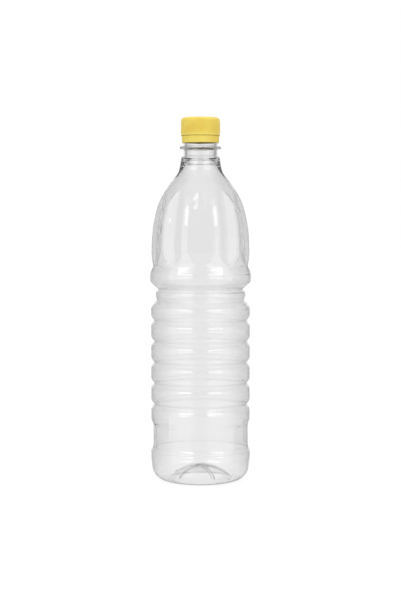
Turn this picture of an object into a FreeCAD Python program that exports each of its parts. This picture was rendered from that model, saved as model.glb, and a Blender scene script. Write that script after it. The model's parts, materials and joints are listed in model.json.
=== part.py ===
"""One litre PET bottle with a ribbed body, a fluted shoulder and a screw cap.

The bottle is a stretch-blown shell: a thick injection-moulded neck finish on a
thin body. From the floor up it has a pushed-up base with radial ribs, a rounded
heel, a band of ten panels, six broad ribs, a narrow waist with a small bead, a
bumper ring, and a tall shoulder with ten lobes and flutes that run up towards
the neck. The closure is a screw cap and, below its cut line, the tamper band.

Millimetres, +Z up, origin at the centre of the footprint. The front faces -Y.
"""

import FreeCAD
import Part

import os
from math import acos, asin, atan2, cos, degrees, hypot, pi, sin, tan

V = FreeCAD.Vector

# ---- Driving dimensions ------------------------------------------------------

# Body
WALL = 0.3                # blown wall of base, body and shoulder
SIDES = 10                # panels round the foot, and lobes round the shoulder

# Base
RING_INNER_R = 26.0       # inner edge of the resting ring
HEEL_FILLET = 11.0        # rounding between the resting ring and the side
HEEL_R = 37.55            # where the side would meet the floor without rounding
PUSH_UP_H = 10.5          # height of the pushed-up centre between the ribs
PUSH_UP_FOOT_FILLET = 3.0
BASE_RIBS = 5             # straight radial ribs that stiffen the push-up
BASE_RIB_PHASE = 27.0     # first rib, degrees round from the front
BASE_RIB_R = 1.15         # half-width of a rib, which starts at the centre
BASE_RIB_OUT = 21.5       # radius at which it ends
BASE_RIB_H = 1.2          # height of a rib above the dome between

# Foot bulge and panel band
FOOT_R = 39.65            # widest radius of the foot
FOOT_LOW_Z = 18.0         # the foot is at its widest between these heights
FOOT_TOP_Z = 23.4
BAND_R = 38.4             # ridges between the panels
BAND_LOW_Z = 25.2
BAND_TOP_Z = 46.0
PANEL_DEPTH = 0.75        # a panel's middle lies this far inside the ridges
PANEL_ARCH = 20.0         # its curve across is this much wider in radius than the band
PANEL_LOW_Z = 28.0        # a panel is straight between these heights
PANEL_TOP_Z = 43.8
PANEL_FLARE = 0.39        # above and below, it leans outwards by this much per mm
PANEL_PHASE = 7.3         # first ridge between panels, degrees round from the front

# Ribs
RIB_R = 39.5              # crest of a rib
RIB_COUNT = 6
RIB_PITCH = 16.78
RIB_LOW_Z = 48.7          # lower corner of the lowest rib
GROOVE_UP = 12.0          # lowest groove, above that corner
GROOVE_R = 36.9           # root of a groove before rounding
GROOVE_HALF = 3.4         # half-height of a groove at the crest, before rounding
GROOVE_FILLET = 0.9
CREST_FILLET = 5.0
RIB_END_UP = 10.88        # upper corner of the highest rib, above the last groove

# Waist and bumper ring, each height counted from the place below it
WAIST_LOW_UP = 5.9        # lower root of the waist bead
WAIST_LOW_R = 34.7
BEAD_UP = 4.45            # small bead in the waist
BEAD_R = 35.7
BEAD_HALF = 1.85
WAIST_TOP_UP = 3.55       # upper root, the narrowest place of the body
WAIST_TOP_R = 33.3
BUMPER_UP = 6.3
BUMPER_H = 6.7
BUMPER_R = 40.3
VALLEY_UP = 6.2           # dip between bumper ring and shoulder
VALLEY_R = 37.9

# Shoulder: control points of its outline, (radius, height above the valley)
SHOULDER_LOW = [(38.35, 3.2), (39.15, 9.2), (39.05, 19.2), (37.95, 34.2),
                (33.4, 50.2), (27.3, 61.2), (21.9, 68.2)]
# and of the part that sweeps up into the neck, (radius outside the neck, height)
SHOULDER_TOP = [(3.3, 74.2), (2.7, 80.2), (1.9, 85.2)]
LOBE_PHASE = 19.0         # first crest between flutes, degrees round from the front
FLUTE_DEPTH = 2.5         # a flute's middle lies this far inside the crests
CREST_INSET = 0.12        # the crests lie this far inside the round outline
FLUTE_TOE = [(4.2, -6.0), (0.9, 2.2)]    # its foot: (outside the outline, height above the valley)
FLUTE_TIP = [(1.9, 61.2), (5.0, 68.2), (9.0, 74.2)]   # its top, counted in the same way
FLUTE_FIRST, FLUTE_LAST = 1, 4           # between, it follows these points of SHOULDER_LOW

# Neck finish, heights from the step or from the underside of the support ring
NECK_R = 13.4             # neck below the closure
BORE_R = 10.87
NECK_STEP_UP = 86.0       # step from the blown shoulder to the neck, above the valley
NECK_STEP_RISE = 0.9
SUPPORT_UP = 6.4          # underside of the support ring above the step
SUPPORT_OUT = 3.1         # the ring stands out this far from the neck
SUPPORT_THICK = 1.7
SUPPORT_SLOPE = 0.4       # its faces rise this much towards the neck
LOCK_BEAD_UP = 6.7        # bead that holds the tamper band
LOCK_BEAD_OUT = 0.55
LOCK_BEAD_H = 1.5
THREAD_STEP_IN = 0.9      # the neck wall inside the cap is this much slimmer
LIP_UP = 22.3             # top of the neck above the support ring
LIP_FILLET = 0.5

# Closure
CAP_TOP = 2.5             # thickness of the cap's top
CAP_CORNER = 3.0
CAP_CLEAR = 1.5           # play between the neck wall and the skirt, room for threads
CAP_WALL = 1.65           # thickness of the skirt at its lower rim
CAP_DRAFT = 0.25          # the skirt narrows towards the top by this much
CAP_RIM_UP = 2.3          # lower rim of the skirt above the lock bead's upper edge
CUT_GAP = 0.35            # cut line between cap and tamper band
BRIDGES = 12              # thin bridges across the cut line
BRIDGE_W = 0.9
BAND_DOWN = 2.0           # lower rim of the tamper band below the lock bead
BAND_CLEAR = 0.3          # play over the lock bead and round the neck
BAND_WALL = 0.8           # thickness of the band at its top
BAND_FOOT = 0.95          # and at its lower rim
BAND_HOOK_H = 0.9
PLUG_LEN = 2.6            # seal that reaches down into the bore
PLUG_THICK = 0.9
PLUG_CLEAR = 0.1

# ---- Sizes that follow ---------------------------------------------------------

LAST_GROOVE_Z = RIB_LOW_Z + GROOVE_UP + RIB_PITCH * (RIB_COUNT - 2)
RIB_END_Z = LAST_GROOVE_Z + RIB_END_UP
WAIST_LOW_Z = RIB_END_Z + WAIST_LOW_UP
BEAD_Z = WAIST_LOW_Z + BEAD_UP
WAIST_TOP_Z = BEAD_Z + WAIST_TOP_UP
BUMPER_LOW_Z = WAIST_TOP_Z + BUMPER_UP
BUMPER_TOP_Z = BUMPER_LOW_Z + BUMPER_H
VALLEY_Z = BUMPER_TOP_Z + VALLEY_UP
NECK_STEP_Z = VALLEY_Z + NECK_STEP_UP
SUPPORT_Z = NECK_STEP_Z + SUPPORT_UP
LOCK_BEAD_Z = SUPPORT_Z + LOCK_BEAD_UP
LIP_Z = SUPPORT_Z + LIP_UP
BAND_Z = LOCK_BEAD_Z - BAND_DOWN
CAP_RIM_Z = LOCK_BEAD_Z + LOCK_BEAD_H + CAP_RIM_UP
LOCK_BEAD_R = NECK_R + LOCK_BEAD_OUT
THREAD_ROOT_R = NECK_R - THREAD_STEP_IN
SKIRT_R = max(THREAD_ROOT_R + CAP_CLEAR, LOCK_BEAD_R + 0.05)
CAP_R = SKIRT_R + CAP_WALL
SHOULDER = ([(r, VALLEY_Z + up) for r, up in SHOULDER_LOW]
            + [(NECK_R + out, VALLEY_Z + up) for out, up in SHOULDER_TOP])


# ---- Outline helpers ---------------------------------------------------------

def offset_corners(corners, inset):
    """Move an outline of (radius, height, fillet) corners inwards by inset.

    The outline runs up the outside of a form. Each straight run moves along its
    own normal, and fillets shrink on outer corners and grow in inner ones, so
    the wall between the two outlines has one thickness.
    """
    lines = []
    for (r0, z0, _), (r1, z1, _) in zip(corners, corners[1:]):
        length = hypot(r1 - r0, z1 - z0)
        ur, uz = (r1 - r0) / length, (z1 - z0) / length
        lines.append((r0 - uz * inset, z0 + ur * inset, ur, uz))
    moved = [(lines[0][0], lines[0][1], 0.0)]
    for (ar, az, aur, auz), (br, bz, bur, buz), corner in zip(lines, lines[1:], corners[1:]):
        turn = aur * buz - auz * bur
        t = ((br - ar) * buz - (bz - az) * bur) / turn
        fillet = corner[2] - inset if turn > 0 else corner[2] + inset
        moved.append((ar + t * aur, az + t * auz, fillet))
    last = corners[-1]
    ur, uz = lines[-1][2], lines[-1][3]
    moved.append((last[0] - uz * inset, last[1] + ur * inset, 0.0))
    return moved


def corner_edges(corners):
    """Straight edges and tangent arcs through (radius, height, fillet) corners."""
    edges = []
    start = V(corners[0][0], 0, corners[0][1])
    for before, corner, after in zip(corners, corners[1:], corners[2:]):
        here = V(corner[0], 0, corner[1])
        back = (V(before[0], 0, before[1]) - here).normalize()
        ahead = (V(after[0], 0, after[1]) - here).normalize()
        half = acos(max(-1.0, min(1.0, back.dot(ahead)))) / 2
        if corner[2] <= 0:
            edges.append(Part.makeLine(start, here))
            start = here
            continue
        reach = corner[2] / tan(half)
        first, second = here + back * reach, here + ahead * reach
        middle_way = (back + ahead).normalize()
        middle = here + middle_way * (corner[2] / sin(half) - corner[2])
        edges.append(Part.makeLine(start, first))
        edges.append(Part.Arc(first, middle, second).toShape())
        start = second
    end = V(corners[-1][0], 0, corners[-1][1])
    edges.append(Part.makeLine(start, end))
    return edges


def spline_edge(points):
    """Clamped cubic B-spline over (radius, height) control points."""
    poles = [V(r, 0, z) for r, z in points]
    spans = len(poles) - 3
    knots = [i / spans for i in range(spans + 1)]
    mults = [4] + [1] * (spans - 1) + [4]
    curve = Part.BSplineCurve()
    curve.buildFromPolesMultsKnots(poles, mults, knots, False, 3)
    return curve.toShape()


def revolved(edges):
    """Solid of revolution about Z from edges that close a region at the axis."""
    face = Part.Face(Part.Wire(edges))
    return face.revolve(V(0, 0, 0), V(0, 0, 1), 360)


def line(r0, z0, r1, z1):
    """Straight edge between two places in the (radius, height) plane."""
    return Part.makeLine(V(r0, 0, z0), V(r1, 0, z1))


def around(shape, angle):
    """A copy of a shape turned about Z to an angle counted from the front."""
    copy = shape.copy()
    copy.rotate(V(0, 0, 0), V(0, 0, 1), angle - 90.0)
    return copy


def ring_of(shape, count, phase):
    """Copies of a shape, which points along +X, evenly round the Z axis."""
    return [around(shape, phase + 360.0 / count * k) for k in range(count)]


# ---- The bottle's form -------------------------------------------------------

def body_corners():
    """Outline of base side, foot, panel band, ribs, waist and bumper ring."""
    path = [(RING_INNER_R - 6.0, 0.0, 0.0),
            (HEEL_R, 0.0, HEEL_FILLET),
            (FOOT_R, FOOT_LOW_Z, 20.0),
            (FOOT_R, FOOT_TOP_Z, 2.0),
            (BAND_R, BAND_LOW_Z, 1.5),
            (BAND_R, BAND_TOP_Z, 2.5),
            (RIB_R, RIB_LOW_Z, 2.5)]
    for k in range(RIB_COUNT - 1):
        z = RIB_LOW_Z + GROOVE_UP + RIB_PITCH * k
        path += [(RIB_R, z - GROOVE_HALF, CREST_FILLET),
                 (GROOVE_R, z, GROOVE_FILLET),
                 (RIB_R, z + GROOVE_HALF, CREST_FILLET)]
    path += [(RIB_R, RIB_END_Z, 4.0),
             (WAIST_LOW_R, WAIST_LOW_Z, 1.5),
             (BEAD_R, BEAD_Z - BEAD_HALF, 2.0),
             (BEAD_R, BEAD_Z + BEAD_HALF, 1.3),
             (WAIST_TOP_R, WAIST_TOP_Z, 0.8),
             (BUMPER_R, BUMPER_LOW_Z, 3.5),
             (BUMPER_R, BUMPER_TOP_Z, 4.0),
             (VALLEY_R, VALLEY_Z, 2.5),
             (SHOULDER[0][0], SHOULDER[0][1], 0.0)]
    return path


def shoulder_points(inset):
    """Shoulder outline moved inwards, thickening towards the neck."""
    neck_wall = SHOULDER[-1][0] - BORE_R
    count = len(SHOULDER)
    points = []
    for k, (r, z) in enumerate(SHOULDER):
        if inset == 0:
            points.append((r, z))
            continue
        below, above = SHOULDER[max(k - 1, 0)], SHOULDER[min(k + 1, count - 1)]
        length = hypot(above[0] - below[0], above[1] - below[1])
        thick = inset + (neck_wall - inset) * (k / (count - 1.0)) ** 8
        points.append((r - thick * (above[1] - below[1]) / length,
                       z + thick * (above[0] - below[0]) / length))
    return points


def push_up(growth):
    """Void under the base: a dome that blends into the resting ring."""
    foot = PUSH_UP_FOOT_FILLET
    sphere = (RING_INNER_R ** 2 + PUSH_UP_H ** 2 - 2 * foot * PUSH_UP_H) / (2 * PUSH_UP_H)
    dome_centre = V(0, 0, PUSH_UP_H - sphere)
    foot_centre = V(RING_INNER_R, 0, foot)
    way = (foot_centre - dome_centre).normalize()
    tangent = dome_centre + way * (sphere + growth)
    slope = atan2(way.x, way.z)
    foot_mid = foot_centre + V(-sin(slope / 2), 0, -cos(slope / 2)) * (foot - growth)
    dome_mid = dome_centre + V(sin(slope / 2), 0, cos(slope / 2)) * (sphere + growth)
    apex = V(0, 0, PUSH_UP_H + growth)
    edges = [line(0, -2, RING_INNER_R, -2),
             line(RING_INNER_R, -2, RING_INNER_R, growth),
             Part.Arc(V(RING_INNER_R, 0, growth), foot_mid, tangent).toShape(),
             Part.Arc(tangent, dome_mid, apex).toShape(),
             Part.makeLine(apex, V(0, 0, -2))]
    void = revolved(edges)
    half = BASE_RIB_R + growth
    bar = Part.makeBox(BASE_RIB_OUT, 2 * half, PUSH_UP_H * 2, V(0, -half, -2))
    bar = bar.fuse(Part.makeCylinder(half, PUSH_UP_H * 2, V(BASE_RIB_OUT, 0, -2)))
    rib = bar.common(Part.makeSphere(sphere + growth + BASE_RIB_H, dome_centre))
    return void.fuse(ring_of(rib, BASE_RIBS, BASE_RIB_PHASE))


def panel_cutter(inset):
    """Cutter of one panel: gently curved across, with arcs that run out above and below."""
    deep = BAND_R - PANEL_DEPTH
    rise = 3.75 / PANEL_FLARE
    path = [(deep + 3.75, PANEL_LOW_Z - rise, 0.0),
            (deep, PANEL_LOW_Z, 3.0),
            (deep, PANEL_TOP_Z, 3.0),
            (deep + 3.75, PANEL_TOP_Z + rise, 0.0)]
    edges = corner_edges(offset_corners(path, inset))
    rim_r = BUMPER_R + 6.0
    first, last = edges[0].firstVertex().Point, edges[-1].lastVertex().Point
    rim = [line(last.x, last.z, rim_r, last.z), line(rim_r, last.z, rim_r, first.z),
           line(rim_r, first.z, first.x, first.z)]
    half = degrees(asin(BAND_R * tan(pi / SIDES) / (BAND_R + PANEL_ARCH)))
    bar = Part.Face(Part.Wire(edges + rim))
    bar.rotate(V(-PANEL_ARCH, 0, 0), V(0, 0, 1), -half)
    return bar.revolve(V(-PANEL_ARCH, 0, 0), V(0, 0, 1), 2 * half)


def lobed_ring(crest_r, depth, z, per_lobe):
    """Ring of control points whose smooth curve has SIDES crests and flutes.

    A cubic curve runs inside its control points, so circle and lobes are both
    enlarged to make the curve itself meet crest_r and depth.
    """
    count = SIDES * per_lobe
    step = 2 * pi / count
    swell = 3 / (2 + cos(step))
    sharpen = 6 / (4 + cos((SIDES - 1) * step) + cos((SIDES + 1) * step))
    ring = []
    for i in range(count):
        angle = i * step
        r = (crest_r - depth / 2) * swell + depth / 2 * sharpen * cos(SIDES * angle)
        ring.append(V(r * cos(angle), r * sin(angle), z))
    return ring


def flute_cutter(inset):
    """Ring-shaped cutter with a lobed inside, which leaves crests and flutes.

    The lobes follow the shoulder's outline in the middle. Below and above they
    swing outwards, so each flute ends in a rounded toe and an arched tip.
    """
    widest = max(r for r, _ in SHOULDER_LOW)
    base_r, tip_r = SHOULDER_LOW[0][0], [r for r, _ in SHOULDER]
    rows = [(base_r + out, VALLEY_Z + up, base_r) for out, up in FLUTE_TOE]
    for r, up in SHOULDER_LOW[FLUTE_FIRST:FLUTE_LAST + 1]:
        rows.append((r - CREST_INSET, VALLEY_Z + up, r))
    for (out, up), r in zip(FLUTE_TIP, tip_r[FLUTE_LAST + 1:]):
        rows.append((r + out, VALLEY_Z + up, r))
    poles = []
    for crest, z, r in rows:
        poles.append(lobed_ring(crest - inset, FLUTE_DEPTH * r / widest, z, 8))
    around_poles = [list(column) for column in zip(*poles)]
    count, high = len(around_poles), len(rows)
    surface = Part.BSplineSurface()
    surface.buildFromPolesMultsKnots(
        around_poles, [1] * (count + 1), [4] + [1] * (high - 4) + [4],
        [float(i) for i in range(count + 1)], [float(i) for i in range(high - 2)],
        True, False, 3, 3)
    side = surface.toShape()
    caps = [Part.Face(Part.Wire([e])) for e in side.Edges if e.isClosed() and e.BoundBox.ZLength < 1e-6]
    plug = Part.Solid(Part.makeShell([side] + caps))
    if plug.Volume < 0:
        plug.reverse()
    low, top = rows[0][1] + 1.0, rows[-1][1] - 1.0
    ring = Part.makeCylinder(BUMPER_R + 8.0, top - low, V(0, 0, low))
    ring = ring.cut(plug)
    return around(ring, LOBE_PHASE)


def neck_corners():
    """Outline of the neck finish, from the step above the shoulder to the lip."""
    ring_low, ring_top = SUPPORT_Z, SUPPORT_Z + SUPPORT_THICK
    bead_top = LOCK_BEAD_Z + LOCK_BEAD_H
    return [(SHOULDER[-1][0], SHOULDER[-1][1], 0.0),
            (SHOULDER[-1][0], NECK_STEP_Z, 0.7),
            (NECK_R, NECK_STEP_Z + NECK_STEP_RISE, 0.6),
            (NECK_R, ring_low - SUPPORT_SLOPE, 0.5),
            (NECK_R + SUPPORT_OUT, ring_low, 0.5),
            (NECK_R + SUPPORT_OUT, ring_top, 0.5),
            (NECK_R, ring_top + SUPPORT_SLOPE, 0.5),
            (NECK_R, LOCK_BEAD_Z, 0.2),
            (LOCK_BEAD_R, LOCK_BEAD_Z, 0.2),
            (LOCK_BEAD_R, bead_top - LOCK_BEAD_H / 2, 0.4),
            (THREAD_ROOT_R, bead_top + LOCK_BEAD_H / 2, 0.8),
            (THREAD_ROOT_R, LIP_Z, LIP_FILLET),
            (BORE_R, LIP_Z, 0.0)]


def bottle_form(inset):
    """Solid form of the blown bottle, moved inwards by the wall thickness.

    With inset 0 it is the outside, and with inset WALL the space inside.
    """
    body = body_corners()
    shoulder = shoulder_points(inset)
    if inset:
        body = offset_corners(body, inset)
        mouth = [line(*shoulder[-1], BORE_R, NECK_STEP_Z), line(BORE_R, NECK_STEP_Z, BORE_R, LIP_Z)]
    else:
        mouth = corner_edges(neck_corners())
    side = corner_edges(body[:-1] + [shoulder[0] + (0.0,)])
    edges = side + [spline_edge(shoulder)] + mouth
    edges += [line(BORE_R, LIP_Z, 0, LIP_Z), line(0, LIP_Z, 0, inset),
              line(0, inset, body[0][0], inset)]
    form = revolved(edges)
    half = 180.0 / SIDES
    form = form.cut(ring_of(panel_cutter(inset), SIDES, PANEL_PHASE + half))
    form = form.cut(flute_cutter(inset))
    return form.cut(push_up(inset))


def bottle():
    """The clear bottle: one shell, open only at the mouth."""
    return bottle_form(0.0).cut(bottle_form(WALL))


# ---- The closure -------------------------------------------------------------

def cap():
    """Screw cap: top, skirt and the plug that seals the bore."""
    top = LIP_Z + CAP_TOP
    plug_r = BORE_R - PLUG_CLEAR
    outside = corner_edges([(CAP_R, CAP_RIM_Z, 0.0),
                            (CAP_R - CAP_DRAFT, top, CAP_CORNER),
                            (0.0, top, 0.0)])
    inside = corner_edges([(0.0, LIP_Z, 0.0),
                           (plug_r - PLUG_THICK, LIP_Z, 0.4),
                           (plug_r - PLUG_THICK, LIP_Z - PLUG_LEN, 0.3),
                           (plug_r, LIP_Z - PLUG_LEN, 0.3),
                           (plug_r, LIP_Z, 0.0),
                           (SKIRT_R, LIP_Z, 0.5),
                           (SKIRT_R, CAP_RIM_Z, 0.2),
                           (CAP_R, CAP_RIM_Z, 0.0)])
    return revolved(outside + [line(0, top, 0, LIP_Z)] + inside)


def tamper_band():
    """Band below the cut line, hooked under the lock bead, with its thin bridges."""
    top = CAP_RIM_Z - CUT_GAP
    wide = LOCK_BEAD_R + BAND_CLEAR
    hook = NECK_R + BAND_CLEAR
    hook_top = BAND_Z + BAND_HOOK_H
    corners = [(hook, hook_top, 0.0),
               (hook, BAND_Z, 0.25),
               (hook + BAND_FOOT, BAND_Z, 0.25),
               (wide + BAND_WALL, top, 0.0),
               (wide, top, 0.0),
               (wide, LOCK_BEAD_Z, 0.0),
               (hook, hook_top, 0.0)]
    ring = revolved(corner_edges(corners))
    bridge = Part.makeBox(BAND_WALL * 0.8, BRIDGE_W, 2 * CUT_GAP,
                          V(wide + BAND_WALL * 0.1, -BRIDGE_W / 2, CAP_RIM_Z - 2 * CUT_GAP))
    return ring.fuse(ring_of(bridge, BRIDGES, 0.0))


def solid_of(shape):
    """The single solid in a boolean's result."""
    solids = shape.Solids
    if len(solids) != 1:
        raise ValueError("expected one solid, found %d" % len(solids))
    return solids[0]


def main():
    """Build every piece and write one STEP file for each."""
    os.makedirs("parts", exist_ok=True)
    for name, build in (("bottle", bottle), ("cap", cap), ("tamper_band", tamper_band)):
        piece = solid_of(build())
        print(name, "valid", piece.isValid(), "volume", round(piece.Volume, 1), "faces", len(piece.Faces))
        piece.exportStep("parts/%s.step" % name)


main()
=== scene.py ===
"""A tall, clear, empty plastic bottle with a yellow screw cap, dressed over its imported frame.

The frame's own bottle and tamper band keep their shapes and get their finishes here.
The cap is modelled anew with its grip of fine ridges. A plain white studio stands round
the object: a floor, soft boxes to both sides, and the light of the room.

Everything is in metres, with +Z up and the bottle's front towards -Y.
"""
from __future__ import annotations

import json
import logging
import math
from contextlib import contextmanager
from dataclasses import dataclass, field
from enum import Enum
from typing import Callable, Iterator

import bpy
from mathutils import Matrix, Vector

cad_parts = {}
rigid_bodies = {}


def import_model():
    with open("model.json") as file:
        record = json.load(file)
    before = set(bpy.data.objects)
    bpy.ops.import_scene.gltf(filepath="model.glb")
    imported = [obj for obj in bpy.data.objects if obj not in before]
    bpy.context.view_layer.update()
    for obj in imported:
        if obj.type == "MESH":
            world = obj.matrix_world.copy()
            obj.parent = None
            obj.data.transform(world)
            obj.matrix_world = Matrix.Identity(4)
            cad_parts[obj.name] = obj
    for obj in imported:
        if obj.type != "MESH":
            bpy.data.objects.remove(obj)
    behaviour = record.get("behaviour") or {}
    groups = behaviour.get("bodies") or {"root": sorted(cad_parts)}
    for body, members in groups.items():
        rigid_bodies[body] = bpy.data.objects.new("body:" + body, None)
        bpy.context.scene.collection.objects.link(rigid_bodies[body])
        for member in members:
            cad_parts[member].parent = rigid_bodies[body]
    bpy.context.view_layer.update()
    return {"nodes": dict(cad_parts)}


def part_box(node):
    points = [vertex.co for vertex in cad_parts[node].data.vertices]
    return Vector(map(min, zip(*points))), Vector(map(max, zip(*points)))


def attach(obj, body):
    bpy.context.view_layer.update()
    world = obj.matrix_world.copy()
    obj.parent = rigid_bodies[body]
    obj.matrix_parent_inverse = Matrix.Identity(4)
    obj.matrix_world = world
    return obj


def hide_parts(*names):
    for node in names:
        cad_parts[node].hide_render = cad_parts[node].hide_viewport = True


LOG = logging.getLogger("bottle")
MM = 0.001
TOUCH = 1e-6     # points this close are merged into one
NEAR = 1e-5      # heights this close count as one
LEVEL = 0.9      # a face is level where its normal's rise or fall is more than this
Colour = tuple[float, float, float]


class Select(Enum):
    """What an edit works on."""

    VERTICES = "VERT"
    EDGES = "EDGE"
    FACES = "FACE"


class Row(Enum):
    """The nodes of the frame that this script dresses or replaces."""

    BOTTLE = "bottle"
    CAP = "cap"
    BAND = "tamper_band"


# ---- Ways of working on a mesh ---------------------------------------------------


def deselect_all() -> None:
    """Leave no object selected."""
    for thing in bpy.context.view_layer.objects:
        thing.select_set(False)


def only(piece: bpy.types.Object) -> None:
    """Make a piece the one selected and active object.

    Args:
        piece: The object to work on next.
    """
    deselect_all()
    piece.select_set(True)
    bpy.context.view_layer.objects.active = piece


@contextmanager
def editing(piece: bpy.types.Object, what: Select) -> Iterator[None]:
    """Edit mode on one piece, with what its mesh has marked as selected.

    Args:
        piece: The object to edit.
        what: The kind of element that the operators act on.

    Yields:
        Nothing: the operators run while the block is open.
    """
    only(piece)
    bpy.context.tool_settings.mesh_select_mode = (
        what is Select.VERTICES, what is Select.EDGES, what is Select.FACES)
    bpy.ops.object.mode_set(mode="EDIT")
    yield
    bpy.ops.object.mode_set(mode="OBJECT")


def mark(piece: bpy.types.Object, what: Select, wanted: Callable[[Vector, Vector], bool]) -> int:
    """Select some of a piece's vertices, edges or faces by their place and normal.

    Args:
        piece: The object, in object mode.
        what: The kind of element to select.
        wanted: Says from an element's middle and normal whether it is selected.

    Returns:
        How many elements were selected.
    """
    mesh = piece.data
    for group in (mesh.vertices, mesh.edges, mesh.polygons):
        group.foreach_set("select", [False] * len(group))
    chosen = 0
    if what is Select.VERTICES:
        for vertex in mesh.vertices:
            vertex.select = wanted(vertex.co, vertex.normal)
            chosen += vertex.select
    elif what is Select.EDGES:
        for edge in mesh.edges:
            first, last = (mesh.vertices[index].co for index in edge.vertices)
            edge.select = wanted((first + last) / 2, last - first)
            chosen += edge.select
    else:
        for face in mesh.polygons:
            face.select = wanted(face.center, face.normal)
            chosen += face.select
    return chosen


def cut_level(piece: bpy.types.Object, heights: list[float]) -> None:
    """Cut a whole mesh level at each height, so that it has a loop of edges there.

    Args:
        piece: The object to cut.
        heights: Heights of the cuts.
    """
    for height in heights:
        with editing(piece, Select.FACES):
            bpy.ops.mesh.select_all(action="SELECT")
            bpy.ops.mesh.bisect(plane_co=(0, 0, height), plane_no=(0, 0, 1))


def settle(piece: bpy.types.Object, smooth_below: float) -> None:
    """Put a finished piece's place into its mesh and smooth what bends gently.

    Args:
        piece: The finished object.
        smooth_below: Angle in degrees, under which two faces shade as one.
    """
    only(piece)
    bpy.ops.object.transform_apply(location=True, rotation=True, scale=True)
    with editing(piece, Select.FACES):
        bpy.ops.mesh.select_all(action="SELECT")
        bpy.ops.mesh.remove_doubles(threshold=TOUCH)
        bpy.ops.mesh.normals_make_consistent(inside=False)
    bpy.ops.object.shade_smooth_by_angle(angle=math.radians(smooth_below))


# ---- Ways of wiring a finish -----------------------------------------------------


class Board:
    """A node tree with short ways to add nodes and join them."""

    def __init__(self, tree: bpy.types.NodeTree, empty: bool = False) -> None:
        """Start on a tree.

        Args:
            tree: The node tree to wire.
            empty: Whether to remove the nodes that it has.
        """
        self.tree = tree
        if empty:
            tree.nodes.clear()

    def add(self, kind: str, **settings: object) -> bpy.types.Node:
        """Add a node and set its own properties.

        Args:
            kind: The node's type name.
            settings: Properties of the node.

        Returns:
            The new node.
        """
        node = self.tree.nodes.new(kind)
        for name, value in settings.items():
            setattr(node, name, value)
        return node

    def feed(self, target: bpy.types.NodeSocket, value: object) -> None:
        """Join a socket to another, or set its number.

        Args:
            target: The input socket.
            value: A socket to join it to, or what to set it to.
        """
        if isinstance(value, bpy.types.NodeSocket):
            self.tree.links.new(value, target)
        else:
            target.default_value = value

    def math(self, operation: str, *values: object) -> bpy.types.NodeSocket:
        """One arithmetic node.

        Args:
            operation: What the Math node does.
            values: Its inputs, as sockets or numbers.

        Returns:
            The socket with the result.
        """
        node = self.add("ShaderNodeMath", operation=operation)
        for target, value in zip(node.inputs, values):
            self.feed(target, value)
        return node.outputs[0]

    def ramp(self, value: object, low: float, high: float,
             start: float = 0.0, end: float = 1.0) -> bpy.types.NodeSocket:
        """A smooth step of a value.

        Args:
            value: The socket that is read.
            low: Where the step starts.
            high: Where it ends.
            start: What comes out below low.
            end: What comes out above high.

        Returns:
            The socket with the stepped value.
        """
        node = self.add("ShaderNodeMapRange", interpolation_type="SMOOTHSTEP")
        for name, number in (("From Min", low), ("From Max", high), ("To Min", start), ("To Max", end)):
            node.inputs[name].default_value = number
        self.feed(node.inputs["Value"], value)
        return node.outputs["Result"]

    def blend(self, share: object, first: object, second: object) -> bpy.types.NodeSocket:
        """A mix of two colours.

        Args:
            share: How much of the second colour shows.
            first: One colour, as a socket or three numbers.
            second: The other.

        Returns:
            The socket with the colour.
        """
        node = self.add("ShaderNodeMix", data_type="RGBA")
        self.feed(node.inputs["Factor"], share)
        for name, colour in (("A", first), ("B", second)):
            target = next(s for s in node.inputs if s.name == name and s.type == "RGBA")
            self.feed(target, (*colour, 1.0) if isinstance(colour, tuple) else colour)
        return next(s for s in node.outputs if s.type == "RGBA")


def looked_at(board: Board) -> bpy.types.NodeSocket:
    """Whether a ray comes from the eye, straight or through clear walls alone.

    Args:
        board: The tree of a world or a material.

    Returns:
        The socket with 1 for such a ray, and 0 for one that gloss has turned.
    """
    path = board.add("ShaderNodeLightPath").outputs
    no_gloss = board.math("LESS_THAN", path["Glossy Depth"], 0.5)
    through = board.math("MULTIPLY", path["Is Transmission Ray"], no_gloss)
    return board.math("MAXIMUM", path["Is Camera Ray"], through)


class NoiseBands:
    """Shader group: an uneven relief, stretched level round the piece.

    Its height varies over the surface between 0 and 1. Long and Tall say how far a
    bump of it reaches along and up the piece, in metres.
    """

    NAME = "noise_bands"
    DETAIL = 1.5
    SIZES = {"Long": 0.03, "Tall": 0.003}

    @classmethod
    def group(cls) -> bpy.types.NodeTree:
        """The group, made the first time that it is asked for.

        Returns:
            The node group.
        """
        found = bpy.data.node_groups.get(cls.NAME)
        if found:
            return found
        tree = bpy.data.node_groups.new(cls.NAME, "ShaderNodeTree")
        for name, size in cls.SIZES.items():
            socket = tree.interface.new_socket(name, in_out="INPUT", socket_type="NodeSocketFloat")
            socket.default_value = size
        tree.interface.new_socket("Height", in_out="OUTPUT", socket_type="NodeSocketFloat")
        board = Board(tree)
        sizes = board.add("NodeGroupInput").outputs
        place = board.add("ShaderNodeTexCoord").outputs["Object"]
        split = board.add("ShaderNodeSeparateXYZ")
        board.feed(split.inputs[0], place)
        join = board.add("ShaderNodeCombineXYZ")
        for axis, size in (("X", "Long"), ("Y", "Long"), ("Z", "Tall")):
            board.feed(join.inputs[axis], board.math("DIVIDE", split.outputs[axis], sizes[size]))
        noise = board.add("ShaderNodeTexNoise")
        noise.inputs["Scale"].default_value = 1.0
        noise.inputs["Detail"].default_value = cls.DETAIL
        board.feed(noise.inputs["Vector"], join.outputs[0])
        board.feed(board.add("NodeGroupOutput").inputs["Height"], noise.outputs["Fac"])
        return tree

    @classmethod
    def place(cls, board: Board, long: float, tall: float) -> bpy.types.NodeSocket:
        """Put the group into a material.

        Args:
            board: The material's tree.
            long: Reach of a bump along the piece.
            tall: Reach of a bump up the piece.

        Returns:
            The socket with the height.
        """
        node = board.add("ShaderNodeGroup", node_tree=cls.group())
        node.inputs["Long"].default_value = long
        node.inputs["Tall"].default_value = tall
        return node.outputs["Height"]


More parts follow.
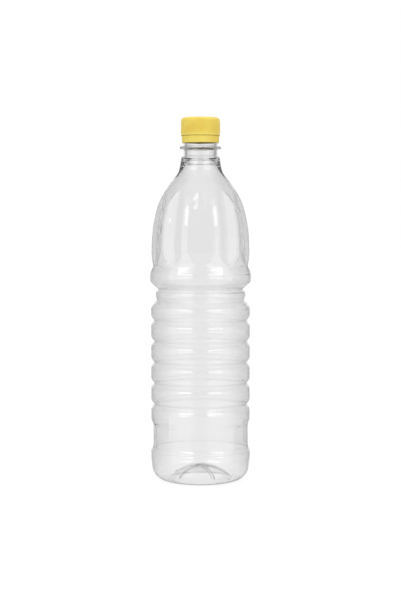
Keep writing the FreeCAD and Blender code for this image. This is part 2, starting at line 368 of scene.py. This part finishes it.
def bumped(board: Board, height: bpy.types.NodeSocket, depth: float,
           under: bpy.types.NodeSocket | None = None) -> bpy.types.NodeSocket:
    """A Bump node.

    Args:
        board: The material's tree.
        height: The relief, between 0 and 1.
        depth: Real height of that relief in metres.
        under: A normal that this relief lies on.

    Returns:
        The socket with the normal.
    """
    node = board.add("ShaderNodeBump")
    node.inputs["Strength"].default_value = 1.0
    node.inputs["Distance"].default_value = depth
    board.feed(node.inputs["Height"], height)
    if under is not None:
        board.feed(node.inputs["Normal"], under)
    return node.outputs["Normal"]


# ---- Finishes --------------------------------------------------------------------


@dataclass(frozen=True)
class ClearPlastic:
    """Blown clear plastic: colourless and glossy, with the faint unevenness of a thin wall.

    It is darker where a wall is met at a slant. Near the base its colour is painted
    lighter, as painted light. A relief is given by its reach along and up the
    piece and its depth, in metres.
    """

    name: str = "clear_blown_plastic"
    tint: Colour = (0.942, 0.942, 0.942)
    slant_tint: Colour = (0.865, 0.865, 0.865)
    slant: tuple[float, float] = (0.18, 0.48)
    # Painted light: below the first base height the colour is this lighter tint, which gives way to the
    # walls' colour by the second height.
    painted_light_base_tint: Colour = (0.99, 0.99, 0.99)
    base: tuple[float, float] = (0.004, 0.020)
    refraction: float = 1.575
    smooth: float = 0.004
    hazy: float = 0.02
    haze: tuple[float, float] = (0.35, 0.75)
    swell: tuple[float, float, float] = (0.030, 0.012, 0.00006)
    streak: tuple[float, float, float] = (0.018, 0.0012, 0.00008)
    ribs: tuple[float, float] = (0.046, 0.168)
    rib_fade: float = 6 * MM
    calm: float = 0.12

    def material(self) -> bpy.types.Material:
        """Wire the finish.

        Returns:
            The new material.
        """
        material = bpy.data.materials.new(self.name)
        material.use_nodes = True
        board = Board(material.node_tree)
        shader = material.node_tree.nodes["Principled BSDF"]
        shader.inputs["Transmission Weight"].default_value = 1.0
        shader.inputs["IOR"].default_value = self.refraction
        slant = board.add("ShaderNodeLayerWeight").outputs["Facing"]
        height = self.height(board)
        walls = board.blend(board.ramp(slant, *self.slant), self.tint, self.slant_tint)
        # Painted light: near the base the walls' colour is swapped for a lighter tint.
        above = board.ramp(height, *self.base)
        board.feed(shader.inputs["Base Color"], board.blend(above, self.painted_light_base_tint, walls))
        long, tall, depth = self.swell
        slow = NoiseBands.place(board, long, tall)
        normal = bumped(board, slow, depth)
        long, tall, depth = self.streak
        fine = board.math("MULTIPLY", NoiseBands.place(board, long, tall), self.on_ribs(board, height))
        board.feed(shader.inputs["Normal"], bumped(board, fine, depth, normal))
        board.feed(shader.inputs["Roughness"], board.ramp(slow, *self.haze, self.smooth, self.hazy))
        return material

    def height(self, board: Board) -> bpy.types.NodeSocket:
        """Read the height above the surface that the bottle stands on.

        Args:
            board: The material's tree.

        Returns:
            The socket with the height in metres.
        """
        split = board.add("ShaderNodeSeparateXYZ")
        board.feed(split.inputs[0], board.add("ShaderNodeTexCoord").outputs["Object"])
        return split.outputs["Z"]

    def on_ribs(self, board: Board, height: bpy.types.NodeSocket) -> bpy.types.NodeSocket:
        """How strongly the level streaks show: fully on the ribs, faintly elsewhere.

        Args:
            board: The material's tree.
            height: The height in metres.

        Returns:
            The socket with the streaks' strength.
        """
        low, high = self.ribs
        fade = self.rib_fade
        rise = board.ramp(height, low - fade, low + fade, self.calm, 1.0)
        fall = board.ramp(height, high - fade, high + fade, 1.0, self.calm)
        return board.math("MINIMUM", rise, fall)


@dataclass(frozen=True)
class CapPlastic:
    """Moulded opaque plastic, satin, with a fine grain and slight mottling of its colour."""

    name: str = "yellow_moulded_plastic"
    colour: Colour = (0.87, 0.70, 0.13)
    deep: Colour = (0.82, 0.62, 0.10)
    refraction: float = 1.5
    polished: float = 0.32
    dull: float = 0.48
    grain: tuple[float, float, float] = (0.0004, 0.0004, 0.000012)
    cloud: tuple[float, float] = (0.009, 0.009)
    spread: tuple[float, float] = (0.3, 0.7)

    def material(self) -> bpy.types.Material:
        """Wire the finish.

        Returns:
            The new material.
        """
        material = bpy.data.materials.new(self.name)
        material.use_nodes = True
        board = Board(material.node_tree)
        shader = material.node_tree.nodes["Principled BSDF"]
        shader.inputs["IOR"].default_value = self.refraction
        cloud = board.ramp(NoiseBands.place(board, *self.cloud), *self.spread)
        board.feed(shader.inputs["Base Color"], board.blend(cloud, self.deep, self.colour))
        long, tall, depth = self.grain
        grain = NoiseBands.place(board, long, tall)
        board.feed(shader.inputs["Roughness"],
                   board.ramp(grain, *self.spread, self.polished, self.dull))
        board.feed(shader.inputs["Normal"], bumped(board, grain, depth))
        return material


# ---- The closure -----------------------------------------------------------------


@dataclass
class ScrewCap:
    """The cap: a hollow cup whose side carries a ring of fine grip ridges.

    Its outer size and place come from the frame's cap. The inside follows the real
    one: a skirt, a thick top and the ring that plugs the bore.
    """

    ridges: int = 120
    ridge_sides: int = 4
    ridge_depth: float = 0.28 * MM
    grip_foot: float = 0.5 * MM
    groove_foot: float = 0.3 * MM
    grip_up_corner: float = 0.45
    plain_rim: float = 2.1 * MM
    rim_lip: float = 0.16 * MM
    rim_gap: float = 0.25 * MM
    corner: float = 2.6 * MM
    corner_steps: int = 7
    draft: float = 0.25 * MM
    skirt_inner: float = 14.0 * MM
    top_thick: float = 2.5 * MM
    plug_outer: float = 10.77 * MM
    plug_thick: float = 0.9 * MM
    plug_long: float = 2.6 * MM
    rim_edge: float = 0.2 * MM
    rim_steps: int = 2
    first_inset: float = 0.1 * MM
    middle: float = 1.0 * MM
    smooth_below: float = 22.0
    name: str = "cap_grip"
    radius: float = field(init=False, default=0.0)
    low: float = field(init=False, default=0.0)
    high: float = field(init=False, default=0.0)

    def measure(self) -> None:
        """Take the cap's radius and heights from the frame."""
        lowest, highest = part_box(Row.CAP.value)
        self.radius = (highest.x - lowest.x) / 2
        self.low, self.high = lowest.z, highest.z

    def blank(self) -> bpy.types.Object:
        """Model a drafted cylinder with a rounded top edge, and a few sides to each ridge.

        Returns:
            The cap, solid and plain.
        """
        height = self.high - self.low
        bpy.ops.mesh.primitive_cylinder_add(
            vertices=self.ridge_sides * self.ridges, radius=self.radius, depth=height, end_fill_type="NGON",
            location=(0, 0, self.low + height / 2))
        piece = bpy.context.object
        piece.name = self.name
        bpy.ops.object.transform_apply(location=True)
        top = self.high - NEAR
        mark(piece, Select.FACES, lambda at, way: at.z > top and way.z > LEVEL)
        slim = (self.radius - self.draft) / self.radius
        with editing(piece, Select.FACES):
            bpy.ops.transform.resize(value=(slim, slim, 1), center_override=(0, 0, self.high))
        mark(piece, Select.EDGES, lambda at, way: at.z > top)
        with editing(piece, Select.EDGES):
            bpy.ops.mesh.bevel(offset=self.corner, segments=self.corner_steps, affect="EDGES")
        return piece

    def add_grip(self, piece: bpy.types.Object) -> None:
        """Press one groove between each two ridges, fading out at both ends.

        Args:
            piece: The cap's blank.
        """
        start = self.low + self.plain_rim
        shoulder = self.high - self.corner
        end = shoulder + self.corner * self.grip_up_corner
        cut_level(piece, [start, start + self.grip_foot, shoulder - self.groove_foot])
        turn = math.tau / (self.ridge_sides * self.ridges)
        reach = self.radius - self.corner

        def in_groove(at: Vector, way: Vector) -> bool:
            """Whether a vertex lies at the bottom of a groove.

            Args:
                at: The vertex's place.
                way: Its normal, which doesn't matter here.

            Returns:
                True for one that is pressed in.
            """
            outside = math.hypot(at.x, at.y) >= reach
            step = round(math.atan2(at.y, at.x) / turn)
            return start + self.groove_foot < at.z < end and outside and step % self.ridge_sides == 0

        mark(piece, Select.VERTICES, in_groove)
        press = (self.radius - self.ridge_depth) / self.radius
        with editing(piece, Select.VERTICES):
            bpy.ops.transform.resize(value=(press, press, 1), center_override=(0, 0, 0))

    def add_rim(self, piece: bpy.types.Object) -> None:
        """Set the plain rim back a little below the ridges, and round its lower edge.

        Args:
            piece: The cap with its grip.
        """
        step = self.low + self.plain_rim - self.rim_gap
        cut_level(piece, [step])
        mark(piece, Select.VERTICES, lambda at, way: at.z < step + NEAR)
        slim = (self.radius - self.rim_lip) / self.radius
        with editing(piece, Select.VERTICES):
            bpy.ops.transform.resize(value=(slim, slim, 1), center_override=(0, 0, self.low))
        bottom = self.low + NEAR
        mark(piece, Select.EDGES, lambda at, way: at.z < bottom)
        with editing(piece, Select.EDGES):
            bpy.ops.mesh.bevel(offset=self.rim_edge, segments=self.rim_steps, affect="EDGES")

    def hollow(self, piece: bpy.types.Object) -> None:
        """Sink the inside: the skirt's cavity, and in its roof the sealing ring.

        Args:
            piece: The cap, still solid.
        """
        roof = self.high - self.top_thick
        steps = (
            (self.skirt_inner, self.low, roof - self.low),
            (self.plug_outer, roof, -self.plug_long),
            (self.plug_outer - self.plug_thick, roof - self.plug_long, self.plug_long),
        )
        for radius, level, rise in steps:
            mark(piece, Select.FACES,
                 lambda at, way, level=level: abs(at.z - level) < NEAR and way.z < -LEVEL
                 and math.hypot(at.x, at.y) < self.middle)
            with editing(piece, Select.FACES):
                bpy.ops.mesh.inset(thickness=self.first_inset, use_even_offset=True)
            outer = max(v.co.xy.length for v in piece.data.vertices if v.select)
            share = radius / outer
            with editing(piece, Select.FACES):
                bpy.ops.transform.resize(value=(share, share, 1), center_override=(0, 0, level))
                bpy.ops.mesh.extrude_region_move(TRANSFORM_OT_translate={"value": (0, 0, rise)})

    def build(self) -> bpy.types.Object:
        """Model the cap.

        Returns:
            The finished piece, riding on the bottle's body in place of the frame's cap.
        """
        self.measure()
        piece = self.blank()
        self.add_grip(piece)
        self.add_rim(piece)
        self.hollow(piece)
        settle(piece, self.smooth_below)
        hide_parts(Row.CAP.value)
        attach(piece, "root")
        LOG.info("%s: %d faces", piece.name, len(piece.data.polygons))
        return piece


# ---- The bottle ------------------------------------------------------------------


@dataclass
class GateMark:
    """The short nub left under the middle of the base where the plastic was fed in."""

    radius: float = 1.9 * MM
    height: float = 1.3 * MM
    ceiling: float = 11.7 * MM
    sunk: float = 0.1 * MM
    sides: int = 48
    tip: float = 0.72
    dimple_rim: float = 0.5 * MM
    dimple: float = 0.25 * MM
    edge: float = 0.25 * MM
    edge_steps: int = 3
    smooth_below: float = 40.0
    name: str = "gate_mark"

    def build(self) -> bpy.types.Object:
        """Model the nub.

        Returns:
            The finished piece, riding on the bottle's body.
        """
        depth = self.height + self.sunk
        middle = self.ceiling + self.sunk - depth / 2
        bpy.ops.mesh.primitive_cylinder_add(vertices=self.sides, radius=self.radius, depth=depth,
                                            end_fill_type="NGON", location=(0, 0, middle))
        piece = bpy.context.object
        piece.name = self.name
        bpy.ops.object.transform_apply(location=True)
        low = self.ceiling - self.height + NEAR
        mark(piece, Select.FACES, lambda at, way: at.z < low and way.z < -LEVEL)
        with editing(piece, Select.FACES):
            bpy.ops.transform.resize(value=(self.tip, self.tip, 1), center_override=(0, 0, low))
            bpy.ops.mesh.inset(thickness=self.dimple_rim)
            bpy.ops.transform.translate(value=(0, 0, self.dimple))
        mark(piece, Select.EDGES, lambda at, way: at.z < low and abs(way.z) < TOUCH)
        with editing(piece, Select.EDGES):
            bpy.ops.mesh.bevel(offset=self.edge, segments=self.edge_steps, affect="EDGES")
        settle(piece, self.smooth_below)
        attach(piece, "root")
        LOG.info("%s: %d faces", piece.name, len(piece.data.polygons))
        return piece


def dress(piece: bpy.types.Object, material: bpy.types.Material) -> None:
    """Give a piece one finish in place of what it had.

    Args:
        piece: The object to dress.
        material: The finish.
    """
    piece.data.materials.clear()
    piece.data.materials.append(material)
    LOG.info("%s wears %s", piece.name, material.name)


# ---- The studio ------------------------------------------------------------------


@dataclass(frozen=True)
class Eye:
    """The camera, level with the bottle's shoulder and tilted a little down."""

    distance: float = 1.0977
    height: float = 0.2146
    tilt: float = 3.7
    lens: float = 82.36273
    film: float = 36.0
    sight: tuple[float, float] = (0.01, 50.0)

    def build(self) -> bpy.types.Object:
        """Place the camera and make it the scene's own.

        Returns:
            The camera.
        """
        data = bpy.data.cameras.new("eye")
        data.sensor_width = self.film
        data.lens = self.lens
        data.clip_start, data.clip_end = self.sight
        eye = bpy.data.objects.new("eye", data)
        bpy.context.scene.collection.objects.link(eye)
        eye.location = (0.0, -self.distance, self.height)
        eye.rotation_euler = (math.radians(90.0 - self.tilt), 0.0, 0.0)
        bpy.context.scene.camera = eye
        return eye


@dataclass(frozen=True)
class SoftBoxes:
    """Two lamps with white faces, one to each side, seen in the gloss as bright panels.

    Azimuth, elevation and both sizes are angles in degrees, seen from the bottle.
    """

    name: str
    azimuth: float
    elevation: float
    wide: float
    tall: float
    brightness: float
    away: float = 1.6
    aim: float = 0.15

    def build(self) -> None:
        """Hang the lamp to the right and the one to the left."""
        self.hang(f"soft_right_{self.name}", self.azimuth)
        self.hang(f"soft_left_{self.name}", -self.azimuth)

    def hang(self, name: str, azimuth: float) -> None:
        """Hang one lamp at its place round the bottle, facing it.

        Args:
            name: The lamp's name.
            azimuth: Degrees round from the bottle's front.
        """
        data = bpy.data.lights.new(name, "AREA")
        data.shape = "RECTANGLE"
        data.size = 2 * self.away * math.tan(math.radians(self.wide / 2))
        data.size_y = 2 * self.away * math.tan(math.radians(self.tall / 2))
        data.energy = self.brightness * math.pi * data.size * data.size_y
        lamp = bpy.data.objects.new(name, data)
        bpy.context.scene.collection.objects.link(lamp)
        turn, rise = math.radians(azimuth), math.radians(self.elevation)
        way = Vector((math.sin(turn) * math.cos(rise), -math.cos(turn) * math.cos(rise), math.sin(rise)))
        lamp.location = Vector((0, 0, self.aim)) + way * self.away
        lamp.rotation_euler = way.to_track_quat("Z", "Y").to_euler()


@dataclass(frozen=True)
class Room:
    """The world: white where it is looked at, dimmer in the gloss, plain light on the rest.

    In the gloss it is dim in front and brighter to the sides, behind and overhead. Each
    part starts and is full at two angles in degrees, round from the front or up.
    """

    plain_light: float = 1.03
    dim: float = 0.20
    side: float = 0.45
    behind: float = 0.95
    overhead: float = 0.22
    side_at: tuple[float, float] = (108.0, 140.0)
    behind_at: tuple[float, float] = (152.0, 160.0)
    overhead_at: tuple[float, float] = (48.0, 70.0)

    def build(self) -> None:
        """Wire the world and give it to the scene."""
        world = bpy.data.worlds.new("room")
        bpy.context.scene.world = world
        world.use_nodes = True
        board = Board(world.node_tree, empty=True)
        split = board.add("ShaderNodeSeparateXYZ")
        board.feed(split.inputs[0], board.add("ShaderNodeTexCoord").outputs["Generated"])
        x, y, z = split.outputs
        turned = board.math("ARCTAN2", x, board.math("MULTIPLY", y, -1.0))
        round_deg = board.math("DEGREES", board.math("ABSOLUTE", turned))
        up_deg = board.math("DEGREES", board.math("ARCSINE", z))
        side = board.ramp(round_deg, *self.side_at, self.dim, self.side)
        back = board.ramp(round_deg, *self.behind_at, 0.0, self.behind - self.side)
        gloss = board.math("ADD", side, back)
        gloss = board.math("ADD", gloss, board.ramp(up_deg, *self.overhead_at, 0.0, self.overhead))
        seen = looked_at(board)
        matt = board.add("ShaderNodeLightPath").outputs["Is Diffuse Ray"]
        level = board.math("ADD", board.math("MULTIPLY", matt, self.plain_light),
                           board.math("MULTIPLY", board.math("SUBTRACT", 1.0, matt), gloss))
        unseen = board.math("SUBTRACT", 1.0, seen)
        level = board.math("ADD", seen, board.math("MULTIPLY", unseen, level))
        back_light = board.add("ShaderNodeBackground")
        back_light.inputs["Color"].default_value = (1.0, 1.0, 1.0, 1.0)
        board.feed(back_light.inputs["Strength"], level)
        board.feed(board.add("ShaderNodeOutputWorld").inputs["Surface"], back_light.outputs[0])


@dataclass(frozen=True)
class Floor:
    """A broad white floor that keeps the bottle's faint shadow.

    Where it is looked at, it is nearly as white as the world by its own light. The
    gloss and the rest see a plain pale floor with a soft sheen.
    """

    half: float = 6.0
    own_light: float = 0.92
    colour: Colour = (0.9, 0.9, 0.9)
    matt_share: float = 0.3
    mirror_share: float = 0.5
    mirror_blur: float = 0.12
    shadow_share: float = 0.11

    def grey(self, share: float) -> tuple[float, float, float, float]:
        """The floor's colour at a share of its strength."""
        return (*(part * share for part in self.colour), 1.0)

    def build(self) -> None:
        """Lay the floor just under the bottle."""
        bpy.ops.mesh.primitive_plane_add(size=2 * self.half, location=(0, 0, 0))
        floor = bpy.context.object
        floor.name = "floor"
        material = bpy.data.materials.new("white_floor")
        material.use_nodes = True
        board = Board(material.node_tree, empty=True)
        matt = board.add("ShaderNodeBsdfDiffuse")
        matt.inputs["Color"].default_value = self.grey(self.matt_share)
        mirror = board.add("ShaderNodeBsdfGlossy")
        mirror.inputs["Color"].default_value = self.grey(self.mirror_share)
        mirror.inputs["Roughness"].default_value = self.mirror_blur
        plain = board.add("ShaderNodeAddShader")
        board.feed(plain.inputs[0], matt.outputs[0])
        board.feed(plain.inputs[1], mirror.outputs[0])
        dim = board.add("ShaderNodeBsdfDiffuse")
        dim.inputs["Color"].default_value = self.grey(self.shadow_share)
        glow = board.add("ShaderNodeEmission")
        glow.inputs["Strength"].default_value = self.own_light
        shown = board.add("ShaderNodeAddShader")
        board.feed(shown.inputs[0], dim.outputs[0])
        board.feed(shown.inputs[1], glow.outputs[0])
        pick = board.add("ShaderNodeMixShader")
        board.feed(pick.inputs[0], looked_at(board))
        board.feed(pick.inputs[1], plain.outputs[0])
        board.feed(pick.inputs[2], shown.outputs[0])
        board.feed(board.add("ShaderNodeOutputMaterial").inputs["Surface"], pick.outputs[0])
        floor.data.materials.append(material)


@dataclass
class Studio:
    """Camera, floor, lamps and room together."""

    eye: Eye = field(default_factory=Eye)
    floor: Floor = field(default_factory=Floor)
    room: Room = field(default_factory=Room)
    boxes: tuple[SoftBoxes, ...] = (
        SoftBoxes("low", azimuth=38.0, elevation=5.0, wide=34.0, tall=20.0, brightness=0.45),
        SoftBoxes("side", azimuth=66.0, elevation=12.0, wide=22.0, tall=50.0, brightness=0.42),
        SoftBoxes("high", azimuth=38.0, elevation=28.0, wide=34.0, tall=22.0, brightness=2.0),
    )
    bounces: int = 24
    gloss_bounces: int = 10

    def build(self) -> None:
        """Set up everything that isn't the object."""
        scene = bpy.context.scene
        scene.view_settings.view_transform = "Standard"
        scene.cycles.max_bounces = self.bounces
        scene.cycles.transmission_bounces = self.bounces
        scene.cycles.glossy_bounces = self.gloss_bounces
        self.eye.build()
        self.floor.build()
        self.room.build()
        for pair in self.boxes:
            pair.build()


def main() -> None:
    """Load the frame, build and dress each piece, and set up the studio."""
    logging.basicConfig(level=logging.INFO, format="%(message)s")
    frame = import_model()
    nodes = frame["nodes"]
    deselect_all()
    clear, yellow = ClearPlastic().material(), CapPlastic().material()
    dress(nodes[Row.BOTTLE.value], clear)
    dress(nodes[Row.BAND.value], yellow)
    dress(ScrewCap().build(), yellow)
    dress(GateMark().build(), clear)
    Studio().build()


if __name__ == "__main__":
    main()
